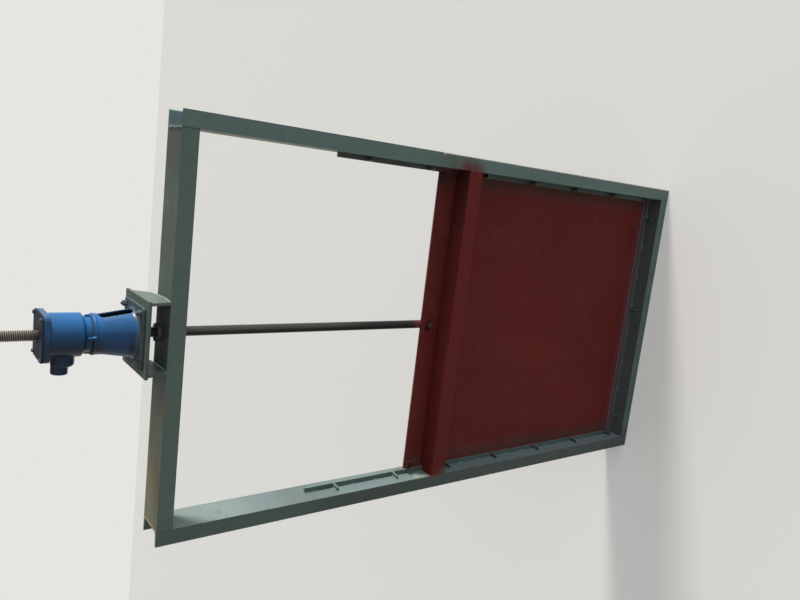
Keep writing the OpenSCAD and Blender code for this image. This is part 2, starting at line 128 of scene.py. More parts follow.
class Finish:
    """A material whose colour, roughness and relief are built up layer by layer."""

    def __init__(self, name, color, roughness, metallic=0.0, specular=0.5, coat=0.0):
        self.material = bpy.data.materials.new(name)
        self.material.use_nodes = True
        self.tree = self.material.node_tree
        self.shader = self.tree.nodes["Principled BSDF"]
        for socket, value in (
            ("Base Color", linear(color)), ("Roughness", roughness), ("Metallic", metallic),
            ("Specular IOR Level", specular), ("Coat Weight", coat), ("Coat Roughness", COAT_ROUGHNESS),
        ):
            self.shader.inputs[socket].default_value = value
        self.place = self.node("TexCoord").outputs["Object"]
        self.normal = None
        self.color = linear(color)
        self.roughness = roughness

    def node(self, kind, **settings):
        made = self.tree.nodes.new("ShaderNode" + kind)
        for key, value in settings.items():
            setattr(made, key, value)
        return made

    def feed(self, socket, value):
        """Links another socket to a socket, or sets its number or colour."""
        if isinstance(value, bpy.types.NodeSocket):
            self.tree.links.new(value, socket)
        else:
            socket.default_value = value

    def math(self, operation, a, b=0.0):
        made = self.node("Math", operation=operation)
        self.feed(made.inputs[0], a)
        self.feed(made.inputs[1], b)
        return made.outputs[0]

    def times(self, product, *others):
        for other in others:
            product = self.math("MULTIPLY", product, other)
        return product

    def either(self, a, b):
        return self.math("MAXIMUM", a, b)

    def rest(self, mask):
        """Mask of all that another one leaves out."""
        return self.math("SUBTRACT", 1.0, mask)

    def ramp(self, value, low, high, out_low=0.0, out_high=1.0):
        """Smooth step of a value from low to high."""
        made = self.node("MapRange", interpolation_type="SMOOTHSTEP")
        for socket, number in zip(made.inputs[:5], (value, low, high, out_low, out_high)):
            self.feed(socket, number)
        return made.outputs[0]

    def axis(self, index):
        """Object coordinate along X, Y or Z."""
        made = self.node("SeparateXYZ")
        self.feed(made.inputs[0], self.place)
        return made.outputs[index]

    def facing(self, index):
        """How far the surface faces along X, Y or Z, from -1 to 1."""
        made = self.node("SeparateXYZ")
        self.feed(made.inputs[0], self.node("NewGeometry").outputs["Normal"])
        return made.outputs[index]

    def along(self, index, *steps):
        """Smooth step of the object coordinate along X, Y or Z."""
        return self.ramp(self.axis(index), *steps)

    def toward(self, index, *steps):
        """Smooth step of how far the surface faces along X, Y or Z."""
        return self.ramp(self.facing(index), *steps)

    def front(self):
        """Mask of the faces at the front."""
        return self.toward(Y, -0.4, -0.8)

    def level(self):
        """Mask of the faces that look up."""
        return self.toward(Z, 0.4, 0.9)

    def sideways(self, *steps):
        """Smooth step of how far the surface faces left or right."""
        return self.ramp(self.math("ABSOLUTE", self.facing(X)), *steps)

    def off_middle(self):
        """Distance to the left or right of the gate's middle."""
        return self.math("ABSOLUTE", self.axis(X))

    def off_axle(self):
        """Distance from the stem's axis."""
        return self.hypotenuse(self.axis(X), self.math("SUBTRACT", self.axis(Y), STEM_Y))

    def hypotenuse(self, a, b):
        return self.math("POWER", self.math("ADD", self.times(a, a), self.times(b, b)), 0.5)

    def stretched(self, scale):
        """Object coordinates times a scale of their own along each axis."""
        made = self.node("Mapping")
        self.feed(made.inputs["Vector"], self.place)
        made.inputs["Scale"].default_value = scale
        return made.outputs[0]

    def noise(self, scale, detail, stretch=None, distortion=0.0):
        made = self.node("TexNoise")
        self.feed(made.inputs["Vector"], self.stretched(stretch) if stretch else self.place)
        made.inputs["Scale"].default_value = scale
        made.inputs["Detail"].default_value = detail
        made.inputs["Distortion"].default_value = distortion
        return made.outputs["Fac"]

    def uneven(self, scale, detail, *steps):
        """Smooth step of a noise, which makes a mask patchy."""
        return self.ramp(self.noise(scale, detail), *steps)

    def patches(self, scale, share, soft, detail, **how):
        """Mask that covers about the given share of the surface in patches."""
        middle = 0.5 + (0.5 - share) * PATCH_SPREAD
        return self.ramp(self.noise(scale, detail, **how), middle - soft, middle + soft)

    def near(self, centre, reach, soft=1.0):
        """Mask that is 1 at a point and fades to 0 at a reach of its own along each axis."""
        away = self.node("VectorMath", operation="SUBTRACT")
        self.feed(away.inputs[0], self.place)
        away.inputs[1].default_value = centre
        scaled = self.node("VectorMath", operation="DIVIDE")
        self.feed(scaled.inputs[0], away.outputs[0])
        scaled.inputs[1].default_value = reach
        length = self.node("VectorMath", operation="LENGTH")
        self.feed(length.inputs[0], scaled.outputs[0])
        return self.ramp(length.outputs["Value"], 1.0, 1.0 - soft)

    def stroke(self, centre, radius, width, start, end):
        """Mask of a thin arc on a plane square to Y, between two angles in degrees, with faded ends."""
        x = self.math("SUBTRACT", self.axis(X), centre[0])
        z = self.math("SUBTRACT", self.axis(Z), centre[1])
        off_arc = self.math("ABSOLUTE", self.math("SUBTRACT", self.hypotenuse(x, z), radius))
        angle = self.math("DEGREES", self.math("ARCTAN2", z, x))
        fade = (end - start) * 0.2
        begun, not_over = self.ramp(angle, start, start + fade), self.ramp(angle, end, end - fade)
        return self.times(self.ramp(off_arc, width, width * 0.2), begun, not_over)

    def mix(self, kind, *values):
        """Goes from one value to another by a factor, which comes first."""
        made = self.node("Mix", data_type=kind)
        *sockets, result = MIX_SOCKETS[kind]
        for socket, value in zip(sockets, values):
            self.feed(made.inputs[socket], value)
        return made.outputs[result]

    def paint(self, color, strength, *masks):
        """Lays a colour over what is there, through the product of its masks."""
        self.color = self.mix("RGBA", self.times(*masks, strength), self.color, linear(color))

    def dull(self, mask, roughness):
        """Sets another roughness through a mask."""
        self.roughness = self.mix("FLOAT", mask, self.roughness, roughness)

    def relief(self, scale, detail, depth, strength):
        """Bump of a noise over a depth in metres."""
        made = self.node("Bump")
        made.inputs["Strength"].default_value = strength
        made.inputs["Distance"].default_value = depth
        self.feed(made.inputs["Height"], self.noise(scale, detail))
        if self.normal:
            self.feed(made.inputs["Normal"], self.normal)
        self.normal = made.outputs[0]

    def done(self):
        self.feed(self.shader.inputs["Base Color"], self.color)
        self.feed(self.shader.inputs["Roughness"], self.roughness)
        self.feed(self.shader.inputs["Normal"], self.normal)
        return self.material


# Green paint of the frame

LEFT_WEB = (-0.60, -0.64)
RIGHT_WEB = (0.60, 0.64)
SKY_SHEEN_WEB_TOP = (2.32, 2.50)
SKYLIT_WEB_FOOT = (1.62, 1.50)
DARK_BAND_TOP = (2.32, 2.22)
DARK_BAND_FOOT = (1.98, 2.08)
BACK_FLANGE = (-0.020, -0.016)
GROUND_REFLECTION_WEB = (bar_high.z - 0.05, bar_high.z + 0.30)
LEFT_CHANNEL = (-0.60, -0.68)
DARKER_TO_LEFT = (0.5, -0.7, 0.0, 0.45)
DARKEST_FRONT = (2.25, 1.95)
CROSSBEAM_FRONT = (FRAME_TOP - 60 * MM, FRAME_TOP - 57 * MM)
THICKER_DUST = (2.3, 2.6, 0.35, 1.0)
TAN_DUST_AND_BOUNCE = (-0.10, -0.42)
DARK_DUST = (0.30, 0.65)
SILL_TOP = (0.12, 0.08)
BLUE_SILL = (-0.20, -0.55)
LEFT_BRACKET = (-0.06, -0.08)


def shaded_side(f):
    """Mask of the faces at the right that look back across the waterway, where soil, painted shade and a
    painted reflection go.
    """
    return f.times(f.toward(X, -0.4, -0.8), f.along(X, *RIGHT_WEB))


def tone_webs(f):
    """Soil and painted shade, painted reflections and painted light on the side channels' webs, and painted
    blue sky light on the back flange at the right.
    """
    # Soil and painted shade, dark olive, on the right channel's inner faces.
    f.paint("#4a4c41", 0.75, shaded_side(f), f.uneven(8, 5, 0.3, 0.7, 0.6, 1.0))
    web = f.times(f.toward(X, 0.6, 0.9), f.along(X, *LEFT_WEB))
    f.paint("#667273", 0.85, web, f.uneven(6, 5, 0.2, 0.6, 0.8, 1.0))
    # Painted sky sheen, lighter, on the left web near the crossbeam.
    f.paint("#7a8984", 0.6, web, f.along(Z, *SKY_SHEEN_WEB_TOP))
    # Painted sky light, lighter and bluer, on the left web from the leaf's top down.
    f.paint("#78888c", 0.8, web, f.along(Z, *SKYLIT_WEB_FOOT))
    f.paint("#56605f", 0.5, web, f.along(Z, *DARK_BAND_TOP), f.along(Z, *DARK_BAND_FOOT))
    # Painted blue sky light on the inner face of the right channel's back flange.
    f.paint("#6d858e", 0.7, f.along(Y, *BACK_FLANGE), f.along(X, HALF_W, HALF_W + 4 * MM), f.front())
    # Painted tan reflection of the ground on the right channel's inner faces above the guide bars.
    f.paint("#85795f", 0.65, shaded_side(f), f.along(Z, *GROUND_REFLECTION_WEB))


def tone_front(f):
    """Darker front of the left side channel, with the other fronts darker towards it."""
    dark = f.times(f.either(f.along(X, *LEFT_CHANNEL), f.along(X, *DARKER_TO_LEFT)), f.front())
    f.paint("#4b5955", 0.95, dark, f.uneven(5, 5, 0.25, 0.7, 0.8, 1.0))
    f.paint("#3d4745", 0.75, dark, f.along(Z, *DARKEST_FRONT))
    between = f.ramp(f.off_middle(), HALF_W + 1 * MM, HALF_W - 1 * MM)
    f.paint("#58655e", 0.7, f.along(Z, *CROSSBEAM_FRONT), f.front(), between)


def tone_level_faces(f):
    """Dust on the crossbeam and other level faces, with painted bounce light at the left, whose mask is
    returned, and stains on the sill.
    """
    dust_and_bounce = f.times(f.level(), f.along(Z, *THICKER_DUST), f.uneven(6, 6, 0.25, 0.7, 0.6, 1.0))
    f.paint("#52564e", 0.88, dust_and_bounce)
    # Tan dust and painted bounce light from the ground at the crossbeam's left end.
    f.paint("#827a5e", 0.95, dust_and_bounce, f.along(X, *TAN_DUST_AND_BOUNCE))
    f.paint("#43473f", 0.7, dust_and_bounce, f.along(X, *DARK_DUST))
    sill = f.times(f.level(), f.along(Z, *SILL_TOP))
    f.paint("#463f43", 0.6, sill)
    f.paint("#445158", 0.55, sill, f.along(X, *BLUE_SILL))
    f.paint("#6a2826", 0.9, sill, f.along(Y, stop_high.y - 2 * MM, stop_high.y))
    return dust_and_bounce


def tone_bracket(f):
    """Duller bracket and base plate, with painted shade on the front of the left bracket plate."""
    f.paint("#5d6258", 0.8, f.toward(X, 0.4, 0.8), f.along(Z, FRAME_TOP, FRAME_TOP + 4 * MM))
    f.paint("#4b5850", 0.6, f.along(Z, base_low.z - 1 * MM, base_low.z + 1 * MM))
    left_plate = f.times(f.along(Z, FRAME_TOP + 1 * MM, FRAME_TOP + 4 * MM), f.along(X, *LEFT_BRACKET))
    # Painted shade on the front of the left bracket plate.
    f.paint("#414d48", 0.8, left_plate, f.front())


MIST_SPOTS = (
    ((HALF_W, FRONT, LINTEL_Z + 0.030), (0.072, 0.15, 0.115), "#60272a", 1.0),
    ((-HALF_W - 0.001, FRONT, LINTEL_Z + 0.006), (0.024, 0.10, 0.075), "#5c3433", 0.8),
)


def overspray(f):
    """Red mist round both ends of the lintel, on the front and on the faces towards the waterway."""
    inward = f.ramp(f.times(f.facing(X), f.axis(X)), -0.1, -0.3)
    reached = f.times(f.either(f.front(), inward), f.uneven(34, 5, 0.25, 0.75, 0.78, 1.15))
    for centre, reach, color, strength in MIST_SPOTS:
        f.paint(color, strength, f.near(centre, reach, soft=0.85), reached)


JOINT_W = 1.6 * MM
JOINTS_SHOWN = (-0.6, -0.5, 0.25, 1.0)


def joint_lines(f):
    """Dark lines on the front, and painted glints in specks on top, where crossbeam and sill meet the side
    channels.
    """
    across = f.math("ABSOLUTE", f.math("SUBTRACT", f.off_middle(), HALF_W))
    beam_foot = FRAME_TOP - CHANNEL_FLANGE
    sill_end = f.along(Z, CHANNEL_FLANGE + 1 * MM, CHANNEL_FLANGE)
    ends = f.either(f.along(Z, beam_foot - 1 * MM, beam_foot), sill_end)
    wobble = f.uneven(130, 3, 0.3, 0.7, JOINT_W * 0.5, JOINT_W * 1.3)
    line = f.ramp(f.math("SUBTRACT", across, wobble), JOINT_W * 0.5, 0.0)
    f.paint("#2b332f", 0.85, line, ends, f.front(), f.along(X, *JOINTS_SHOWN))
    # Painted glints in pale specks along the seams on top.
    seam_glints = f.times(f.ramp(across, 5 * MM, 2 * MM), f.toward(Z, 0.3, 0.6))
    f.paint("#9db3ae", 0.8, seam_glints, f.uneven(210, 3, 0.5, 0.6))


HAZE = ((HALF_W + 0.020, FRONT, 1.620), (0.085, 0.08, 0.150))
STREAKS = (
    ((0.720, FRONT, 1.620), (0.040, 0.02, 0.016)),
    ((0.732, FRONT, 1.632), (0.022, 0.02, 0.014)),
)
EDGE_CHIP = ((0.750, FRONT, 1.693), (0.006, 0.01, 0.012))
BARE_CHIP = ((0.754, FRONT, 1.680), (0.005, 0.01, 0.010))
RUST_SMEARS = (
    ((0.668, -0.128, FRAME_TOP), (0.022, 0.007, 0.02)),
    ((0.688, -0.118, FRAME_TOP), (0.008, 0.005, 0.02)),
)
PALE_PATCH = ((-HALF_W, -0.122, 1.585), (0.02, 0.026, 0.085))
PALE_EDGE_X = (FRONT_EDGE - 4.5 * MM, FRONT_EDGE - 2.5 * MM)
PALE_EDGE_Z = (1.70, 1.67)


def green_wear(f):
    """Streaks, chips and rust where the photograph has them, and small chips and smears all over."""
    wear = f.uneven(70, 6, 0.35, 0.6)
    for centre, reach in STREAKS:
        f.paint("#45443b", 0.85, f.near(centre, reach, soft=0.9), wear)
    f.paint("#2c2a26", 0.9, f.near(*EDGE_CHIP, soft=0.4), wear)
    f.paint("#c4c2b6", 0.9, f.near(*BARE_CHIP, soft=0.5))
    for centre, reach in RUST_SMEARS:
        f.paint("#583f36", 0.75, f.near(centre, reach, soft=0.7), wear)
    f.paint("#97a184", 0.55, f.near(*PALE_PATCH, soft=0.8), f.uneven(30, 5, 0.3, 0.6))
    # Pale worn paint and a painted highlight along the right channel's front edge.
    edge = f.times(f.along(X, *PALE_EDGE_X), f.along(Z, *PALE_EDGE_Z), f.toward(Y, -0.2, -0.6))
    f.paint("#c9c4b4", 0.9, edge, f.uneven(55, 6, 0.3, 0.5, 0.45, 1.0))
    f.paint("#8d9a93", 0.6, f.patches(120, 0.05, 0.02, 3), f.patches(7, 0.22, 0.08, 4))
    f.paint("#4a5048", 0.3, f.patches(25, 0.1, 0.08, 5, distortion=1.5))


def green_paint():
    """Satin grey-green paint of the frame, each part toned as the photograph shows it."""
    f = Finish("green_paint", "#627b75", 0.42, specular=0.25)
    f.paint("#586b66", 0.8, f.patches(2.2, 0.45, 0.2, 5))
    f.paint("#6b7f79", 0.45, f.patches(14, 0.3, 0.15, 6))
    f.paint("#4f5f5a", 0.5, f.patches(9, 0.25, 0.12, 6, stretch=(1, 1, 0.12)))
    tone_webs(f)
    tone_front(f)
    dust_and_bounce = tone_level_faces(f)
    tone_bracket(f)
    f.paint("#5b5c55", 0.55, f.near(*HAZE, soft=0.7), f.front())
    overspray(f)
    joint_lines(f)
    green_wear(f)
    f.dull(f.noise(20, 5), 0.56)
    f.dull(dust_and_bounce, 0.75)
    f.relief(260, 3, 0.25 * MM, 0.35)
    f.relief(18, 4, 0.9 * MM, 0.35)
    return f.done()


WELD_SOIL_AND_SHADE = (bar_high.z + 0.05, bar_high.z)
CORNER_BEADS = (FRAME_TOP - 9 * MM, FRAME_TOP - 6 * MM)
DUST_AND_BOUNCE_END = (-0.55, -0.60)
DULL_END = (0.60, 0.65)


def weld_paint():
    """Paint on the beads, with painted glints in pale patches on their ripples."""
    f = Finish("weld_paint", "#6c847e", 0.3, specular=0.45)
    # Painted glints in pale patches on the beads.
    f.paint("#9fb4ae", 0.75, f.patches(150, 0.4, 0.12, 4))
    f.paint("#43504b", 0.7, f.patches(90, 0.2, 0.1, 4))
    # Soil and painted shade on the beads of the right web below the guide bar's top.
    f.paint("#474a40", 0.85, f.along(X, *RIGHT_WEB), f.along(Z, *WELD_SOIL_AND_SHADE))
    # Tan dust and painted bounce light on the beads at the crossbeam's left end.
    f.paint("#6f6a52", 0.9, f.along(X, *DUST_AND_BOUNCE_END), f.along(Z, *CORNER_BEADS))
    uneven = f.uneven(120, 4, 0.35, 0.6, 1.0, 0.45)
    f.paint("#4c5a55", 0.9, f.along(X, *DULL_END), f.along(Z, *CORNER_BEADS), uneven)
    f.relief(400, 3, 0.25 * MM, 0.4)
    return f.done()


# Paint of the bars

def bar_base(name):
    """Green paint that the guide bars and the stop bar share."""
    f = Finish(name, "#5c746f", 0.45, specular=0.25)
    f.paint("#6b7f79", 0.45, f.patches(14, 0.3, 0.15, 6))
    f.dull(f.noise(20, 5), 0.6)
    f.relief(260, 3, 0.25 * MM, 0.35)
    return f


def stop_paint():
    """Green paint of the stop bar, with dusty primer over its top and its upper edge."""
    f = bar_base("stop_paint")
    upper = f.either(f.toward(Z, 0.2, 0.6), f.along(Z, stop_high.z - 16 * MM, stop_high.z - 8 * MM))
    f.paint("#65565b", 0.9, upper, f.uneven(30, 5, 0.2, 0.4, 0.7, 1.0))
    f.paint("#465350", 0.75, f.rest(upper))
    return f.done()


LINTEL_SHADOW = ((HALF_W, bar_low.y, LINTEL_Z + 0.05), (0.1, 0.1, 0.20))


def bar_paint():
    """Green paint of the guide bars, with painted shade and dirt on the right bar, painted shade on the left
    bar's front, painted shadow on the rib tops, and red mist on the sides that the leaf's primer reached.
    """
    f = bar_base("bar_paint")
    right = f.along(X, *RIGHT_WEB)
    left = f.rest(right)
    # Painted shade and dirt, dark olive, on the right guide bar.
    f.paint("#44463b", 0.8, right, f.uneven(8, 5, 0.3, 0.7, 0.6, 1.0))
    # Painted shade on the front of the left guide bar.
    f.paint("#4b5a57", 0.85, left, f.front())
    back_edge = f.along(Y, bar_high.y - 7 * MM, bar_high.y - 4 * MM)
    misted = f.either(f.times(left, back_edge), f.times(right, f.uneven(30, 5, 0.2, 0.5)))
    beside_leaf = f.along(Z, LEAF_TOP + 0.09, LEAF_TOP + 0.06)
    f.paint("#76282b", 0.9, misted, f.sideways(0.5, 0.9), beside_leaf)
    f.paint("#451f1d", 0.9, right, f.near(*LINTEL_SHADOW, soft=0.4), f.uneven(35, 5, 0.2, 0.5))
    # Dark maroon on the rib tops beside the leaf: red mist and painted shadow.
    rib_tops = f.times(f.level(), f.along(Z, LEAF_TOP, LEAF_TOP - 0.05), left)
    f.paint("#4b2629", 0.85, rib_tops, f.uneven(40, 5, 0.2, 0.5))
    return f.done()


# Red primer

SCUFF_ARCS = (
    ((0.235, 1.195), 0.245, 0.0035, 186, 226),
    ((-0.20, 1.02), 0.35, 0.002, 20, 45),
    ((0.32, 0.50), 0.42, 0.002, 150, 176),
)
BOLT_HEAD = ((0, plate_low.y, BOLT_Z), (0.024, 0.02, 0.024))
BOLT_SHADOW = ((-0.018, plate_low.y, BOLT_Z + 0.009), (0.021, 0.02, 0.021))
SHOES = (0.5, 0.6)
PLATE_SIDES = (plate_high.x - 0.105, plate_high.x - 0.015)
PLATE_FOOT = (plate_low.z + 0.075, plate_low.z + 0.010)


def proud(f, start, full):
    """Mask of what stands out from the leaf's front, between two distances in millimetres."""
    return f.along(Y, plate_low.y - start * MM, plate_low.y - full * MM)


def red_primer():
    """Matt primer of the leaf, greyer along its sides and foot, with painted shade on the shoes and on the
    bolt head's sides, and a painted shadow round the bolt head.
    """
    f = Finish("red_primer", "#682724", 0.7, specular=0.07)
    f.paint("#5b2423", 0.8, f.patches(1.6, 0.45, 0.25, 4))
    f.paint("#6f302a", 0.55, f.patches(5, 0.3, 0.2, 6, stretch=(1, 1, 0.35)))
    f.paint("#5b2522", 0.45, f.patches(40, 0.25, 0.12, 6))
    f.paint("#65403a", 0.25, f.patches(11, 0.12, 0.12, 7, distortion=0.8))
    f.paint("#6a5546", 0.5, f.level(), f.noise(9, 6))
    front = f.toward(Y, -0.5, -0.8)
    sides = f.ramp(f.off_middle(), *PLATE_SIDES)
    f.paint("#474540", 0.62, front, sides, f.uneven(16, 5, 0.25, 0.7, 0.55, 1.0))
    f.paint("#6e555d", 0.62, front, f.along(Z, *PLATE_FOOT), f.uneven(16, 5, 0.25, 0.7, 0.6, 1.0))
    # Painted shade, near black, on the guide shoes.
    f.paint("#331b1a", 0.85, proud(f, 0.4, 1.2), f.ramp(f.off_middle(), *SHOES))
    head = f.near(*BOLT_HEAD, soft=0.2)
    # Painted shade on the sides of the bolt head.
    f.paint("#261114", 0.85, head, proud(f, 1, 3))
    f.paint("#603f3d", 0.8, head, proud(f, 10.5, 11.5))
    f.paint("#1e0d10", 0.75, f.near(*BOLT_SHADOW, soft=0.7))
    for arc in SCUFF_ARCS:
        f.paint("#8c5a50", 0.55, f.stroke(*arc), f.uneven(90, 4, 0.3, 0.6))
    f.dull(f.noise(12, 6), 0.6)
    f.relief(320, 3, 0.2 * MM, 0.4)
    f.relief(7, 3, 1.4 * MM, 0.3)
    return f.done()


LINTEL_LEFT = (-0.15, -0.55)
LINTEL_RIGHT = (0.30, 0.62)
LINTEL_END = ((-HALF_W, FRONT, lintel_low.z + 5 * MM), (0.048, 0.06, 0.052))


def lintel_paint():
    """Primer of the lintel, darker to the left, with painted shade on its top towards the right and green
    mist on the lower corner of its left end.
    """
    f = Finish("lintel_paint", "#65201c", 0.6, specular=0.12)
    f.paint("#5d201d", 0.7, f.patches(6, 0.4, 0.2, 5, stretch=(0.25, 1, 1)))
    f.paint("#702e26", 0.35, f.patches(50, 0.25, 0.12, 6))
    f.paint("#5c3a32", 0.2, f.level(), f.uneven(9, 6, 0.3, 0.7, 0.2, 0.8))
    f.paint("#511d19", 0.55, f.along(X, *LINTEL_LEFT))
    # Painted shade on the lintel's top towards the right.
    f.paint("#3a2120", 0.55, f.level(), f.along(X, *LINTEL_RIGHT))
    f.paint("#4a524c", 0.75, f.near(*LINTEL_END, soft=0.8), f.uneven(34, 5, 0.25, 0.75, 0.7, 1.1))
    f.dull(f.noise(16, 6), 0.48)
    f.relief(320, 3, 0.2 * MM, 0.35)
    f.relief(9, 3, 1.0 * MM, 0.3)
    return f.done()


# Paint of the hoist

SOIL = ((-0.07, STEM_Y - 0.07, FLANGE_TOP + 0.01), (0.09, 0.09, 0.06))
SHADED_LEFT = (0.062, -0.040)
HEAD_FOOT = (cover_low.z - 21 * MM, cover_low.z - 18 * MM)
SHADED_HEAD = (0.025, -0.030)
CONE_TOP = 0.118
CONE_WALL = (78.5 * MM, 62 * MM)


def over_flange(f, low, high, *out):
    """Smooth step between two heights over the pedestal's flange."""
    return f.along(Z, FLANGE_TOP + low, FLANGE_TOP + high, *out)


def blue_paint():
    """Gloss paint of the castings, grey at their foot, with painted shade on the left and on the head, and
    painted shade, near black, inside the pedestal.
    """
    f = Finish("blue_paint", "#1b5c94", 0.3, specular=0.2, coat=0.06)
    f.paint("#185486", 0.8, f.patches(9, 0.4, 0.2, 5))
    f.paint("#26659c", 0.3, f.patches(60, 0.2, 0.1, 5))
    foot = f.times(over_flange(f, 0.026, 0.001), f.uneven(40, 5, 0.3, 0.6))
    f.paint("#4b5952", 0.95, f.either(foot, over_flange(f, 0.004, 0.0)))
    f.paint("#4a4232", 0.8, f.near(*SOIL), f.uneven(50, 6, 0.35, 0.6))
    level = f.level()
    f.paint("#33424a", 0.8, level, f.uneven(14, 6, 0.2, 0.6, 0.5, 1.0))
    # Painted shade on the faces that look left, and more painted shade over the left half.
    not_back = f.toward(Y, 0.5, 0.0)
    left = f.times(f.toward(X, 0.0, -0.8), not_back)
    f.paint("#10263a", 0.8, left, f.uneven(18, 5, 0.2, 0.7, 0.7, 1.0))
    shade = f.times(f.along(X, *SHADED_LEFT), f.toward(X, 0.9, 0.3), not_back)
    f.paint("#0e1a26", 0.88, shade, over_flange(f, 0.002, 0.020))
    cone = f.times(over_flange(f, 0.115, 0.090), over_flange(f, 0.022, 0.030))
    f.paint("#1c4a72", 0.6, cone, f.uneven(16, 5, 0.2, 0.6, 0.6, 1.0))
    head = f.along(Z, *HEAD_FOOT)
    f.paint("#33465a", 0.45, head)
    # Painted shade on the head's left side.
    f.paint("#132130", 0.45, head, f.along(X, *SHADED_HEAD))
    wall = over_flange(f, 0.0, CONE_TOP, *CONE_WALL)
    inside = f.ramp(f.math("SUBTRACT", f.off_axle(), wall), 1.5 * MM, 0.0)
    hollow = f.times(inside, over_flange(f, 0.124, 0.112))
    # Painted shade, near black, inside the pedestal's hollow.
    f.paint("#0e1114", 0.95, hollow)
    f.dull(f.noise(35, 5), 0.4)
    f.dull(f.either(level, hollow), 0.85)
    f.relief(160, 4, 0.4 * MM, 0.4)
    f.relief(38, 3, 0.9 * MM, 0.25)
    return f.done()


def cover_paint():
    """Dull, dark paint of the housing's cover, with painted shade on its top."""
    f = Finish("cover_paint", "#2c3843", 0.6, specular=0.04)
    f.paint("#1d262f", 0.8, f.patches(22, 0.35, 0.15, 6))
    f.paint("#4a3f3a", 0.5, f.patches(30, 0.2, 0.1, 6))
    # Painted shade on the cover's top.
    f.paint("#1f2125", 0.6, f.toward(Z, 0.7, 0.95))
    f.relief(150, 4, 0.4 * MM, 0.4)
    f.dull(f.noise(30, 5), 0.6)
    return f.done()


# Bare metal and rubber

LIT_STEM = (-3 * MM, 5 * MM)
SHADED_STEM = (1 * MM, -8 * MM)
DARK_STEM_FOOT = (LEAF_TOP + 0.50, LEAF_TOP + 0.25)
RED_STEM_FOOT = (LEAF_TOP + 0.046, LEAF_TOP + 0.030)


def stem_steel():
    """Greasy steel: dark in the thread's roots, bare on its crests above the hoist."""
    f = Finish("stem_steel", "#34332f", 0.48, metallic=0.5, specular=0.5)
    crest = f.ramp(f.off_axle(), STEM_R - 1.6 * MM, STEM_R - 0.4 * MM)
    above_hoist = f.along(Z, cover_high.z - 0.01, cover_high.z + 0.03)
    f.paint("#3a3b33", 0.7, f.patches(12, 0.4, 0.2, 5, stretch=(1, 1, 0.5)))
    f.paint("#4e4434", 0.6, f.patches(30, 0.18, 0.08, 6))
    f.paint("#4a4942", 0.5, crest)
    f.paint("#8b8272", 0.9, crest, above_hoist)
    below_beam = f.along(Z, FRAME_TOP, FRAME_TOP - 0.02)
    f.paint("#5d5e5b", 0.7, below_beam, f.along(X, *LIT_STEM))
    f.paint("#2b2220", 0.75, below_beam, f.along(X, *SHADED_STEM))
    f.paint("#262023", 0.7, f.along(Z, *DARK_STEM_FOOT))
    red_foot = f.along(Z, *RED_STEM_FOOT)
    f.paint("#5c2424", 0.95, red_foot)
    f.dull(f.noise(60, 4), 0.36)
    f.dull(red_foot, 0.6)
    f.relief(400, 3, 0.15 * MM, 0.4)
    return f.done()


def dark_iron():
    """Grey cast iron of the collar, with some rust."""
    f = Finish("dark_iron", "#666b67", 0.5, metallic=0.2)
    f.paint("#5f564a", 0.7, f.patches(70, 0.3, 0.12, 6))
    f.paint("#5c6763", 0.6, f.patches(30, 0.35, 0.15, 5))
    f.dull(f.noise(60, 4), 0.68)
    f.relief(240, 4, 0.3 * MM, 0.4)
    return f.done()


def bolt_steel():
    """Zinc-plated fasteners, dulled and touched with the paint round them."""
    f = Finish("bolt_steel", "#525c5f", 0.4, metallic=0.4, specular=0.35)
    f.paint("#353d40", 0.8, f.patches(90, 0.35, 0.12, 5))
    f.paint("#6b5a44", 0.6, f.patches(60, 0.18, 0.08, 5))
    f.dull(f.noise(110, 4), 0.58)
    f.relief(500, 3, 0.12 * MM, 0.4)
    return f.done()


def nut_bronze():
    """Tarnished bronze of the drive nut."""
    f = Finish("nut_bronze", "#8a6c38", 0.36, metallic=0.85)
    f.paint("#3c3220", 0.75, f.patches(40, 0.45, 0.15, 6))
    f.dull(f.noise(50, 4), 0.55)
    f.relief(300, 3, 0.15 * MM, 0.4)
    return f.done()


def seal_rubber():
    """Black rubber, with primer on the inner faces and a dusty front on the bottom seal."""
    f = Finish("seal_rubber", "#1b1b1b", 0.72, specular=0.35)
    f.paint("#2a2827", 0.8, f.patches(50, 0.3, 0.15, 6))
    inner = f.either(f.sideways(0.4, 0.8), f.toward(Z, 0.4, 0.8))
    f.paint("#74262a", 0.9, inner, f.uneven(24, 5, 0.2, 0.42, 0.6, 1.0))
    low = f.times(f.along(Z, seal_high.z + 3 * MM, seal_high.z + 1 * MM), f.front())
    f.paint("#6a5159", 0.85, low, f.uneven(24, 5, 0.2, 0.42, 0.7, 1.0))
    f.dull(f.noise(90, 4), 0.85)
    f.relief(420, 3, 0.15 * MM, 0.5)
    return f.done()


# Finishes of the nodes

FINISHES = {
    "green": green_paint(), "weld": weld_paint(), "bar": bar_paint(), "stop": stop_paint(),
    "red": red_primer(), "lintel": lintel_paint(), "blue": blue_paint(), "cover": cover_paint(),
    "stem": stem_steel(), "iron": dark_iron(), "bolt": bolt_steel(), "bronze": nut_bronze(),
    "rubber": seal_rubber(),
}

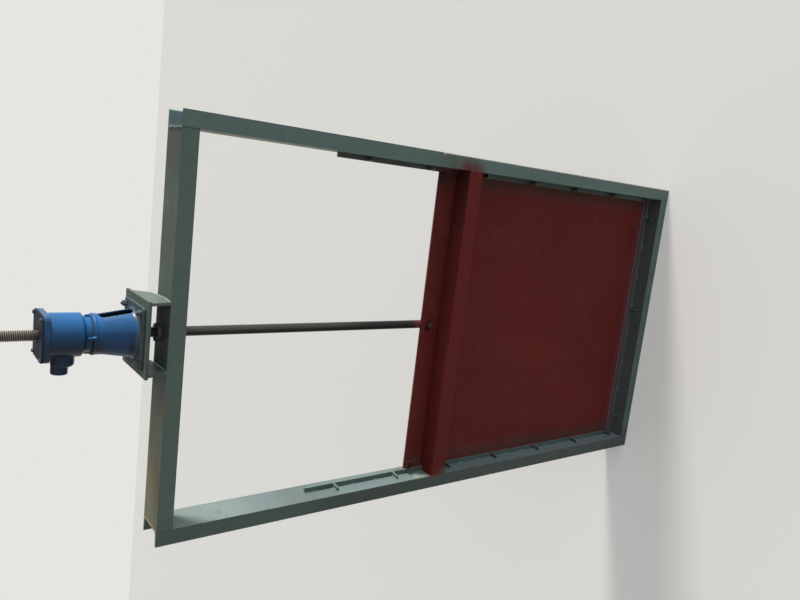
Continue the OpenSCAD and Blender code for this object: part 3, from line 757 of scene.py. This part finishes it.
# Nodes, their finish, and the width of the round along their edges
DRESS = (
    (("left_side_channel", "right_side_channel", "top_crossbeam", "sill_channel"), "green", 1.6 * MM),
    (("sill_stop_ribs", "left_keeper_bar", "right_keeper_bar",
      "left_bracket_plate", "right_bracket_plate", "hoist_base_plate"), "green", 0.9 * MM),
    (("left_guide_bar", "right_guide_bar", "left_guide_ribs", "right_guide_ribs"), "bar", 0.8 * MM),
    (("sill_stop_bar",), "stop", 0.8 * MM),
    (("skin_plate", "left_edge_rib", "right_edge_rib", "top_rib", "bottom_rib", "cross_ribs",
      "upright_ribs", "left_guide_shoe", "right_guide_shoe", "stem_cheeks", "stem_bolt"), "red", 0.8 * MM),
    (("lintel_beam",), "lintel", 1.6 * MM),
    (("gear_housing", "hoist_pedestal"), "blue", 0),
    (("housing_cover",), "cover", 1.0 * MM),
    (("stem",), "stem", 0),
    (("stem_collar",), "iron", 0.8 * MM),
    (("drive_nut",), "bronze", 0.8 * MM),
    (("left_side_seal", "right_side_seal", "top_seal", "bottom_seal"), "rubber", 0.6 * MM),
)


def set_finish(obj, finish):
    obj.data.materials.clear()
    obj.data.materials.append(FINISHES[finish])


def soften(obj, width):
    """Small round along the sharp edges."""
    bevel = obj.modifiers.new("edges", "BEVEL")
    bevel.width = width
    bevel.segments = 2
    bevel.limit_method = "ANGLE"
    bevel.angle_limit = math.radians(50)
    bevel.harden_normals = True


for names, finish, edge in DRESS:
    for name in names:
        set_finish(nodes[name], finish)
        if edge:
            soften(nodes[name], edge)


# Mesh helpers

WELD_SHARP = 80


def make_piece(name, bm, finish, body, sharp=35):
    """Turns a bmesh into a piece that rides on a body, with edges sharp from an angle in degrees."""
    bmesh.ops.recalc_face_normals(bm, faces=bm.faces)
    mesh = bpy.data.meshes.new(name)
    bm.to_mesh(mesh)
    bm.free()
    mesh.shade_smooth()
    mesh.set_sharp_from_angle(angle=math.radians(sharp))
    obj = add_object(name, mesh)
    set_finish(obj, finish)
    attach(obj, body)
    return obj


def loft(bm, rings):
    """Joins closed rings of points, each with as many points, and closes both ends."""
    rows = [[bm.verts.new(p) for p in ring] for ring in rings]
    for low, high in zip(rows, rows[1:]):
        for i in range(len(low)):
            j = (i + 1) % len(low)
            bm.faces.new((low[i], low[j], high[j], high[i]))
    bm.faces.new(reversed(rows[0]))
    bm.faces.new(rows[-1])


def circle(z, radius, count):
    """Points round the Z axis; the radius is a number or a function of the angle."""
    points = []
    for i in range(count):
        a = 2 * math.pi * i / count
        r = radius(a) if callable(radius) else radius
        points.append(Vector((r * math.cos(a), r * math.sin(a), z)))
    return points


def turned(bm, place, steps, count):
    """Closed body round its place's Z axis, through circles at pairs of height and radius."""
    loft(bm, [[place @ p for p in circle(z, radius, count)] for z, radius in steps])


# Fasteners

HEX_POINTS = 36
HEX_CHAMFER = 0.14
# Shares of the chamfer's height and of the radius at the corners
HEX_FOOT = ((0.0, 0.93), (1.0, 1.0))
HEX_TOP = ((1.0, 1.0), (0.45, 0.955), (0.0, 0.88))
DISC_POINTS = 28
DISC_EDGE = 0.4 * MM
STUD_POINTS = 20
STUD_GROOVE = 0.45


def hexagon(across, limit):
    """Radius of a hexagon as a function of the angle, cut off at a circle."""
    return lambda a: min(across / 2 / math.cos(a % (math.pi / 3) - math.pi / 6), limit)


def hex_head(bm, place, across, height, both_ends=False):
    """Bolt head or nut with chamfered corners, standing on its place's XY plane."""
    corner = across / math.sqrt(3)
    drop = height * HEX_CHAMFER
    foot = [(drop * up, corner * out) for up, out in HEX_FOOT] if both_ends else [(0.0, corner)]
    top = [(height - drop * down, corner * out) for down, out in HEX_TOP]
    turned(bm, place, [(z, hexagon(across, limit)) for z, limit in foot + top], HEX_POINTS)


def disc(bm, place, radius, height):
    """Washer with small chamfers."""
    inner = radius - DISC_EDGE
    steps = ((0.0, inner), (DISC_EDGE, radius), (height - DISC_EDGE, radius), (height, inner))
    turned(bm, place, steps, DISC_POINTS)


def thread_end(bm, place, radius, length, pitch):
    """End of a bolt with grooves round it and a chamfered tip."""
    steps = [(0.0, radius)]
    for i in range(1, int(length / pitch)):
        steps.append(((i - 0.5) * pitch, radius - pitch * STUD_GROOVE))
        steps.append((i * pitch, radius))
    steps.append((length, radius - pitch))
    turned(bm, place, steps, STUD_POINTS)


def upright(x, y, z, turn=0.0):
    """Place of a fastener that points up from a level face."""
    return Matrix.Translation((x, y, z)) @ Matrix.Rotation(turn, 4, "Z")


def corners(reach):
    """Four points round the stem, each as far from it along X as along Y."""
    return [(sx * reach, STEM_Y + sy * reach) for sx in (-1, 1) for sy in (-1, 1)]


# Washers: radius, thickness. Heads and nuts: width, height. Thread ends: radius, length, pitch
HOIST_BOLT_REACH = 86 * MM
HOIST_WASHER = (12 * MM, 2.5 * MM)
HOIST_NUT = (19 * MM, 10.5 * MM)
STUD_FOOT = FLANGE_TOP + 12.5 * MM
STUD_END = (5.9 * MM, 6.5 * MM, 1.75 * MM)
COVER_BOLT_REACH = 64 * MM
COVER_WASHER = (6.5 * MM, 1.2 * MM)
COVER_HEAD = (11 * MM, 4.5 * MM)
COLLAR_BOLT_REACH = 25.5 * MM
COLLAR_HEAD = (12 * MM, 4 * MM)
STEM_HEAD_T = 12 * MM
STEM_HEAD_W = 30 * MM
STEM_WASHER = (18.5 * MM, 2 * MM)
STEM_BOLT_END = (9.8 * MM, STEM_HEAD_T, 2.5 * MM)
STEM_BOLT_R = 9.9 * MM
STEM_BOLT_POINTS = 24


def hoist_bolts():
    """Studs in the base plate, with washers and nuts on the pedestal's flange."""
    random.seed(11)
    bm = bmesh.new()
    for x, y in corners(HOIST_BOLT_REACH):
        turn = random.uniform(0, math.pi / 3)
        disc(bm, upright(x, y, FLANGE_TOP), *HOIST_WASHER)
        hex_head(bm, upright(x, y, FLANGE_TOP + HOIST_WASHER[1], turn), *HOIST_NUT, both_ends=True)
        thread_end(bm, upright(x, y, STUD_FOOT), *STUD_END)
    make_piece("hoist_bolts", bm, "bolt", "frame")


def cover_bolts():
    """Bolts with washers at the corners of the housing's cover."""
    random.seed(12)
    bm = bmesh.new()
    for x, y in corners(COVER_BOLT_REACH):
        disc(bm, upright(x, y, cover_high.z), *COVER_WASHER)
        head = upright(x, y, cover_high.z + COVER_WASHER[1], random.uniform(0, 1))
        hex_head(bm, head, *COVER_HEAD)
    make_piece("cover_bolts", bm, "bolt", "frame")


def collar_bolts():
    """Flat bolt heads on the collar, left and right of the stem."""
    bm = bmesh.new()
    for side in (-1, 1):
        place = upright(side * COLLAR_BOLT_REACH, STEM_Y, collar_high.z, 0.3 * side)
        hex_head(bm, place, *COLLAR_HEAD)
    make_piece("collar_bolts", bm, "bolt", "frame")


def stem_bolt():
    """Bolt through the leaf's plate and the stem's tongue, painted over like the leaf."""
    low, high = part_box("stem_bolt")
    middle = (low + high) / 2
    ends = (low.y + STEM_HEAD_T, high.y - STEM_HEAD_T)
    front, back = (
        Matrix.Translation((middle.x, y, middle.z)) @ Matrix.Rotation(turn, 4, "X")
        for y, turn in zip(ends, (math.pi / 2, -math.pi / 2))
    )
    bm = bmesh.new()
    disc(bm, front, *STEM_WASHER)
    hex_head(bm, front, STEM_HEAD_W, STEM_HEAD_T)
    hex_head(bm, back, STEM_HEAD_W, STEM_HEAD_T - 1 * MM, both_ends=True)
    thread_end(bm, back, *STEM_BOLT_END)
    section = circle(0, STEM_BOLT_R, STEM_BOLT_POINTS)
    loft(bm, [[Vector((p.x + middle.x, y, p.y + middle.z)) for p in section] for y in ends])
    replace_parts(make_piece("stem_bolt_detail", bm, "red", "leaf"), "stem_bolt")


# Threaded stem

PITCH = 6 * MM
THREAD_DEPTH = 3.0 * MM
THREAD_COLUMNS = 24
THREAD_PROFILE = ((0.0, 0.25), (0.05, 0.0), (0.30, 0.0), (0.35, 0.25), (0.50, 1.0), (0.86, 1.0))
THREAD_SHARP = 28
THREAD_START = LEAF_TOP + 30 * MM
TONGUE_TOP = LEAF_TOP + 0.2 * MM
TONGUE_T = 24 * MM
CHAMFER = 3 * MM


def thread_radius(turns):
    """Radius of the thread at a place counted in pitches."""
    part = turns % 1.0
    knots = THREAD_PROFILE + ((1.0, THREAD_PROFILE[0][1]),)
    for (a, da), (b, db) in zip(knots, knots[1:]):
        if part <= b:
            depth = da + (db - da) * (part - a) / (b - a)
            return STEM_R - THREAD_DEPTH * depth
    return STEM_R


def threaded_stem():
    """One closed surface: tongue with two flats, plain foot, trapezoidal thread, chamfered end."""
    top = stem_high.z
    flat_front = plate_high.y - STEM_Y
    flat_back = flat_front + TONGUE_T
    full = circle(0, STEM_R, THREAD_COLUMNS)
    tongue = [Vector((p.x, min(max(p.y, flat_front), flat_back), 0)) for p in full]
    foot = ((tongue, stem_low.z), (tongue, TONGUE_TOP), (full, TONGUE_TOP), (full, THREAD_START))
    bm = bmesh.new()
    rings = [[bm.verts.new((p.x, p.y + STEM_Y, z)) for p in points] for points, z in foot]
    per_turn = len(THREAD_PROFILE)
    rows = per_turn * (int((top - THREAD_START) / PITCH) + 3)
    grid = []
    for i in range(rows):
        row = []
        turn, knot = divmod(i, per_turn)
        for k in range(THREAD_COLUMNS):
            share = k / THREAD_COLUMNS
            z = THREAD_START + PITCH * (turn - 1 + THREAD_PROFILE[knot][0] + share)
            z = min(max(z, THREAD_START), top)
            chamfered = STEM_R - max(0.0, CHAMFER - (top - z))
            r = min(thread_radius((z - THREAD_START) / PITCH - share), chamfered)
            a = 2 * math.pi * share
            row.append(bm.verts.new((r * math.cos(a), STEM_Y + r * math.sin(a), z)))
        grid.append(row)
    for low, high in zip(rings, rings[1:] + [grid[0]]):
        for k in range(THREAD_COLUMNS):
            n = (k + 1) % THREAD_COLUMNS
            bm.faces.new((low[k], low[n], high[n], high[k]))
    for i in range(rows - 1):
        for k in range(THREAD_COLUMNS):
            if k + 1 < THREAD_COLUMNS:
                square = (grid[i][k], grid[i][k + 1], grid[i + 1][k + 1], grid[i + 1][k])
            else:
                # The last column meets the first one turn further up
                a, b = min(i + per_turn, rows - 1), min(i + 1 + per_turn, rows - 1)
                if a == b:
                    continue
                square = (grid[i][k], grid[a][0], grid[b][0], grid[i + 1][k])
            bm.faces.new(square)
    bm.faces.new(reversed(rings[0]))
    bm.faces.new(grid[-1])
    bmesh.ops.remove_doubles(bm, verts=bm.verts, dist=1e-6)
    bmesh.ops.dissolve_degenerate(bm, dist=1e-7, edges=bm.edges)
    piece = make_piece("threaded_stem", bm, "stem", "leaf", sharp=THREAD_SHARP)
    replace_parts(piece, "stem")


# Welds

BEAD_SIDES = 8
# Shares of a bead's size, and how fast it grows from its tips and drifts along its length
BEAD_STEP = 0.42
BEAD_RIPPLE = 0.13
BEAD_ROUGHNESS = 0.07
BEAD_DRIFT = 0.14
BEAD_TIP = 0.35
BEAD_GROWTH = 3.2 / 6
BEAD_WAVE = 0.55


def bead(bm, start, end, size, seed):
    """Weld bead between two points, with ripples and tapered ends, half sunk in the corner."""
    rng = random.Random(seed)
    start, end = Vector(start), Vector(end)
    along = end - start
    step = size * BEAD_STEP
    count = max(4, int(along.length / step))
    direction = along.normalized()
    side = direction.orthogonal().normalized()
    other = direction.cross(side)
    angles = [2 * math.pi * k / BEAD_SIDES for k in range(BEAD_SIDES)]
    spokes = [side * math.cos(a) + other * math.sin(a) for a in angles]
    wave = rng.uniform(0, 6)
    sizes = along.length / size
    rings = []
    for i in range(count + 1):
        share = i / count
        taper = min(1.0, BEAD_TIP + BEAD_GROWTH * min(share, 1 - share) * sizes)
        ripple = 1.0 + BEAD_RIPPLE * math.cos(math.pi * i) + rng.uniform(-BEAD_ROUGHNESS, BEAD_ROUGHNESS)
        drift = BEAD_DRIFT * size * math.sin(wave + BEAD_WAVE * share * sizes)
        centre = start + along * share + side * drift * 0.5 + other * drift * 0.5
        radius = size * 0.5 * taper * ripple
        rings.append([centre + spoke * radius for spoke in spokes])
    loft(bm, rings)


def stitches(bm, start, end, size, length, pitch, seed):
    """Short beads of one length at even distances along a line."""
    start, end = Vector(start), Vector(end)
    along = end - start
    count = max(1, round(along.length / pitch))
    step = along / count
    half = along.normalized() * length / 2
    for i in range(count):
        middle = start + step * (i + 0.5)
        bead(bm, middle - half, middle + half, size, seed + i)


def mirrored(make, bm, start, end, *rest):
    """The same bead or stitches at the right and, mirrored, at the left."""
    for side in (1, -1):
        a, b = ((side * p[0], p[1], p[2]) for p in (start, end))
        make(bm, a, b, *rest)


RIB_PITCH = 0.316
RIB_T = 8 * MM
LEAF_BAYS = 4
STITCH = 22 * MM
BAR_STITCHES = (85 * MM, 205 * MM)
BAR_LEG = 6 * MM
RIB_LEG = 4.5 * MM
WEB_X = HALF_W - 1 * MM
BAR_EDGE = bar_low.y - 0.5 * MM
# Leg, length and distance of the stitches
KEEPER_STITCHES = (5 * MM, 30 * MM, 0.24)
STOP_STITCHES = (5 * MM, 25 * MM, 0.17)
LEVEL_STITCHES = (5 * MM, 38 * MM, 0.172)
UPRIGHT_STITCHES = (5 * MM, 38 * MM, 0.16)


def guide_bar_welds(bm):
    """Beads beside each rib and stitches between the ribs, on both guide bars."""
    low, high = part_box("right_guide_ribs")
    for i in range(round((high.z - low.z) / RIB_PITCH) + 1):
        z = low.z + RIB_T / 2 + i * RIB_PITCH
        for foot in (z - RIB_T / 2, z + RIB_T / 2):
            start, end = (WEB_X, BAR_EDGE - 3 * MM, foot), (WEB_X, BAR_EDGE - 34 * MM, foot)
            mirrored(bead, bm, start, end, RIB_LEG, 120 + i)
        for dz in BAR_STITCHES:
            if z + dz + STITCH < bar_high.z:
                start, end = (WEB_X, BAR_EDGE, z + dz), (WEB_X, BAR_EDGE, z + dz + STITCH)
                mirrored(bead, bm, start, end, BAR_LEG, 140 + i)
    start, end = (WEB_X, BAR_EDGE, bar_high.z - 26 * MM), (WEB_X, BAR_EDGE, bar_high.z - 3 * MM)
    mirrored(bead, bm, start, end, BAR_LEG, 160)


def frame_welds():
    """Beads at the frame's corners and along the guide bars, keeper bars, stop bar and ribs."""
    bm = bmesh.new()
    for z in (beam_high.z, sill_high.z):
        start, end = (HALF_W, FRONT + 3 * MM, z), (HALF_W, -3 * MM, z)
        mirrored(bead, bm, start, end, 6 * MM, int(z * 100))
    guide_bar_welds(bm)
    low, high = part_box("right_keeper_bar")
    mirrored(stitches, bm, (WEB_X, high.y, low.z), (WEB_X, high.y, high.z), *KEEPER_STITCHES, 170)
    for y in (stop_low.y, stop_high.y):
        start, end = (stop_low.x, y, sill_high.z), (stop_high.x, y, sill_high.z)
        stitches(bm, start, end, *STOP_STITCHES, 190)
    make_piece("frame_welds", bm, "weld", "frame", sharp=WELD_SHARP)


def bracket_welds():
    """Beads at the foot and the top of both bracket plates, on each side."""
    bm = bmesh.new()
    front, back = bracket_low.y + 8 * MM, bracket_high.y - 8 * MM
    for x in (bracket_low.x, bracket_high.x):
        mirrored(bead, bm, (x, FRONT + 3 * MM, FRAME_TOP), (x, -3 * MM, FRAME_TOP), 8 * MM, 300)
        mirrored(bead, bm, (x, front, base_low.z), (x, back, base_low.z), 8 * MM, 310)
    make_piece("bracket_welds", bm, "weld", "frame", sharp=WELD_SHARP)


def lintel_welds():
    """Beads over and under both ends of the lintel."""
    bm = bmesh.new()
    for z in (lintel_high.z, lintel_low.z):
        start, end = (WEB_X, FRONT + 4 * MM, z), (WEB_X, bar_low.y - 2 * MM, z)
        mirrored(bead, bm, start, end, 6 * MM, 400)
    make_piece("lintel_welds", bm, "lintel", "frame", sharp=WELD_SHARP)


def leaf_welds():
    """Stitches of the ribs on the leaf's back and beads round its guide shoes."""
    bm = bmesh.new()
    back, front = plate_high.y, plate_low.y
    low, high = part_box("bottom_rib")[0].z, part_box("top_rib")[0].z
    edge_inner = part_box("right_edge_rib")[0].x
    upright_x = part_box("upright_ribs")[1].x - RIB_T / 2
    levels = [low + (high - low) * i / LEAF_BAYS for i in range(LEAF_BAYS + 1)]
    for i, z in enumerate(levels):
        for face in (z, z + RIB_T):
            if face > low:
                start, end = (-edge_inner, back, face), (edge_inner, back, face)
                stitches(bm, start, end, *LEVEL_STITCHES, 500 + 20 * i)
    for i, (a, b) in enumerate(zip(levels, levels[1:])):
        for x in (upright_x - RIB_T / 2, upright_x + RIB_T / 2, edge_inner):
            start, end = (x, back, a + RIB_T), (x, back, b)
            mirrored(stitches, bm, start, end, *UPRIGHT_STITCHES, 600 + 20 * i)
    shoe_low, shoe_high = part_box("right_guide_shoe")
    for x in (shoe_low.x, shoe_high.x):
        start, end = (x, front, shoe_low.z), (x, front, shoe_high.z - 1 * MM)
        mirrored(bead, bm, start, end, 4 * MM, 700)
    start, end = (shoe_low.x, front, shoe_low.z), (shoe_high.x, front, shoe_low.z)
    mirrored(bead, bm, start, end, 4 * MM, 701)
    make_piece("leaf_welds", bm, "red", "leaf", sharp=WELD_SHARP)


hoist_bolts()
cover_bolts()
collar_bolts()
stem_bolt()
threaded_stem()
frame_welds()
bracket_welds()
lintel_welds()
leaf_welds()


# Castings

# Heights over the pedestal's flange in the solid, and where the photograph has them
RING_STEPS = ((0.113, 0.113), (0.118, 0.1255), (0.135, 0.1390), (0.146, 0.1555), (0.158, 0.158))
RING_R = 70 * MM
LUG_R = 66 * MM
SMOOTH_ROUNDS = 8


def raise_ring(mesh, place):
    """Moves the pedestal's ring and lugs up, and draws all lugs but the front one in to the ring."""
    for vertex in mesh.vertices:
        point = place @ vertex.co
        height = point.z - FLANGE_TOP
        for (a, to_a), (b, to_b) in zip(RING_STEPS, RING_STEPS[1:]):
            if a < height <= b:
                point.z = FLANGE_TOP + to_a + (to_b - to_a) * (height - a) / (b - a)
                radius = math.hypot(point.x, point.y - STEM_Y)
                if radius > RING_R + 1 * MM and point.y - STEM_Y > -RING_R / 2:
                    point.x *= LUG_R / radius
                    point.y = STEM_Y + (point.y - STEM_Y) * LUG_R / radius
                break
        vertex.co = place.inverted() @ point


def casting(name, node, voxel, shape=None):
    """Copy of a cast node with soft corners, as it comes out of a sand mould."""
    source = nodes[node]
    mesh = source.data.copy()
    if shape:
        shape(mesh, source.matrix_world)
    mesh.name = name
    obj = add_object(name, mesh)
    remesh = obj.modifiers.new("skin", "REMESH")
    remesh.mode = "VOXEL"
    remesh.voxel_size = voxel
    smooth = obj.modifiers.new("soft", "SMOOTH")
    smooth.factor = 0.5
    smooth.iterations = SMOOTH_ROUNDS
    bpy.context.view_layer.update()
    graph = bpy.context.evaluated_depsgraph_get()
    final = bpy.data.meshes.new_from_object(obj.evaluated_get(graph))
    obj.modifiers.clear()
    obj.data = final
    final.name = name
    final.shade_smooth()
    set_finish(obj, "blue")
    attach(obj, "frame")
    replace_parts(obj, node)


casting("housing_casting", "gear_housing", 1.8 * MM)
casting("pedestal_casting", "hoist_pedestal", 2.0 * MM, raise_ring)


# Stage, light and background

FLOOR_SIZE = 9.0
FLOOR_COLOR = "#d9d7d2"
FLOOR_GLOW = 0.26
PALE = "#e6e5e1"
SKY_COLOR = (0.94, 0.97, 1.0, 1.0)
SKY_STRENGTH = 0.27


def seen_rays(tree):
    """1 on rays of the camera and on those that glossy and clear surfaces show, and 0 on other rays."""
    path = tree.nodes.new("ShaderNodeLightPath")
    shown = path.outputs["Is Camera Ray"]
    for name in ("Is Transmission Ray", "Is Glossy Ray"):
        either = tree.nodes.new("ShaderNodeMath")
        either.operation = "MAXIMUM"
        tree.links.new(shown, either.inputs[0])
        tree.links.new(path.outputs[name], either.inputs[1])
        shown = either.outputs[0]
    return shown


def add_floor():
    """Level floor that is a little brighter in the picture than the lamps make it."""
    bm = bmesh.new()
    bmesh.ops.create_grid(bm, x_segments=2, y_segments=2, size=FLOOR_SIZE)
    mesh = bpy.data.meshes.new("floor")
    bm.to_mesh(mesh)
    bm.free()
    floor = add_object("floor", mesh)
    f = Finish("floor", FLOOR_COLOR, 0.9)
    f.feed(f.shader.inputs["Emission Color"], linear(PALE))
    f.feed(f.shader.inputs["Emission Strength"], f.times(seen_rays(f.tree), FLOOR_GLOW))
    mesh.materials.append(f.material)


def add_world():
    """Even pale sky that the camera and reflections see at full strength and surfaces at less."""
    world = bpy.data.worlds.new("studio")
    bpy.context.scene.world = world
    world.use_nodes = True
    tree = world.node_tree
    tree.nodes.clear()
    mix = tree.nodes.new("ShaderNodeMixShader")
    tree.links.new(seen_rays(tree), mix.inputs[0])
    for socket, (color, strength) in enumerate(((SKY_COLOR, SKY_STRENGTH), (linear(PALE), 1.0)), 1):
        background = tree.nodes.new("ShaderNodeBackground")
        background.inputs["Color"].default_value = color
        background.inputs["Strength"].default_value = strength
        tree.links.new(background.outputs[0], mix.inputs[socket])
    out = tree.nodes.new("ShaderNodeOutputWorld")
    tree.links.new(mix.outputs[0], out.inputs["Surface"])


def add_sun(name, toward, strength, angle, color):
    """Sun lamp that shines along a direction, as wide as an angle in degrees."""
    data = bpy.data.lights.new(name, "SUN")
    data.energy = strength
    data.angle = math.radians(angle)
    data.color = color
    lamp = add_object(name, data)
    lamp.rotation_mode = "QUATERNION"
    lamp.rotation_quaternion = Vector(toward).to_track_quat("-Z", "Y")


add_floor()
add_world()
add_sun("key", toward=(-0.90, -0.21, -0.20), strength=4.3, angle=9, color=(1.0, 0.97, 0.92))
add_sun("sky", toward=(-0.93, 0.30, -0.12), strength=1.6, angle=110, color=(0.90, 0.95, 1.0))
bpy.context.scene.view_settings.view_transform = "Standard"
